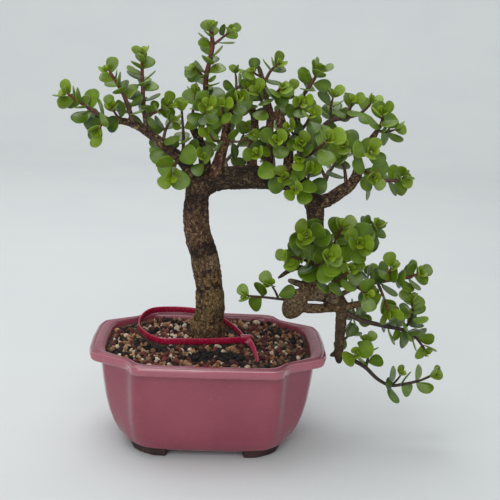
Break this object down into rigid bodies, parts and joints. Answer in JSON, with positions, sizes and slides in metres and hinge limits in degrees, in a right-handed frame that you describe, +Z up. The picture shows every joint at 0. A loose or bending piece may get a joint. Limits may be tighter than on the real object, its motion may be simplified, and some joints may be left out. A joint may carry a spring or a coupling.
{
  "type": "dwarf jade bonsai in a glazed pot",
  "caption": "Dwarf jade bonsai with a bent, arching trunk, round fleshy leaves and a hanging side branch, growing in granular soil in a notched-corner glazed ceramic pot.",
  "frame": {"origin": "on the surface that the pot stands on, under the middle of the whole plant's outline", "axes": "+Z up, +X to the right along the pot's long side, +Y to the back, away from the viewer"},
  "size_m": [0.3158, 0.1428, 0.3329],
  "materials": {
    "glaze": "gloss",
    "soil": "matte",
    "screen_plastic": "matte",
    "tag_plastic": "satin",
    "bark": "matte",
    "leaf": "satin"
  },
  "bodies": {
    "root": {"pot": "glaze", "soil": "soil", "drain_screen_left": "screen_plastic", "drain_screen_right": "screen_plastic", "plant_tag": "tag_plastic", "trunk_and_limbs": "bark", "spray_back_left": "leaf", "spray_back_mid": "leaf", "spray_back_right": "leaf", "spray_bar_left": "leaf", "spray_bright_rosette": "leaf", "spray_cascade_arm": "leaf", "spray_cascade_back": "leaf", "spray_cascade_front": "leaf", "spray_cascade_left": "leaf", "spray_cascade_low": "leaf", "spray_centre_low": "leaf", "spray_centre_rosette": "leaf", "spray_crown_centre": "leaf", "spray_crown_dark": "leaf", "spray_crown_front": "leaf", "spray_crown_left_high": "leaf", "spray_crown_low_left": "leaf", "spray_crown_low_right": "leaf", "spray_crown_top": "leaf", "spray_grey_back": "leaf", "spray_grey_tip": "leaf", "spray_junction_left": "leaf", "spray_junction_low": "leaf", "spray_junction_right": "leaf", "spray_left_back": "leaf", "spray_left_back_low": "leaf", "spray_left_fork": "leaf", "spray_left_front": "leaf", "spray_left_mid": "leaf", "spray_left_red": "leaf", "spray_left_small": "leaf", "spray_left_stack": "leaf", "spray_left_tip": "leaf", "spray_low_back": "leaf", "spray_low_limb": "leaf", "spray_mid_left": "leaf", "spray_red_arm": "leaf", "spray_red_fork": "leaf", "spray_right_arm": "leaf", "spray_right_end": "leaf", "spray_right_front": "leaf", "spray_right_inner": "leaf", "spray_right_low": "leaf", "spray_right_shoot": "leaf", "spray_right_top": "leaf", "spray_right_twig": "leaf", "spray_side_limb": "leaf", "spray_slope_limb": "leaf", "spray_tall_front": "leaf", "spray_tall_inner": "leaf", "spray_tall_low": "leaf", "spray_tall_yellow": "leaf", "spray_top_shoot": "leaf"}
  },
  "joints": []
}
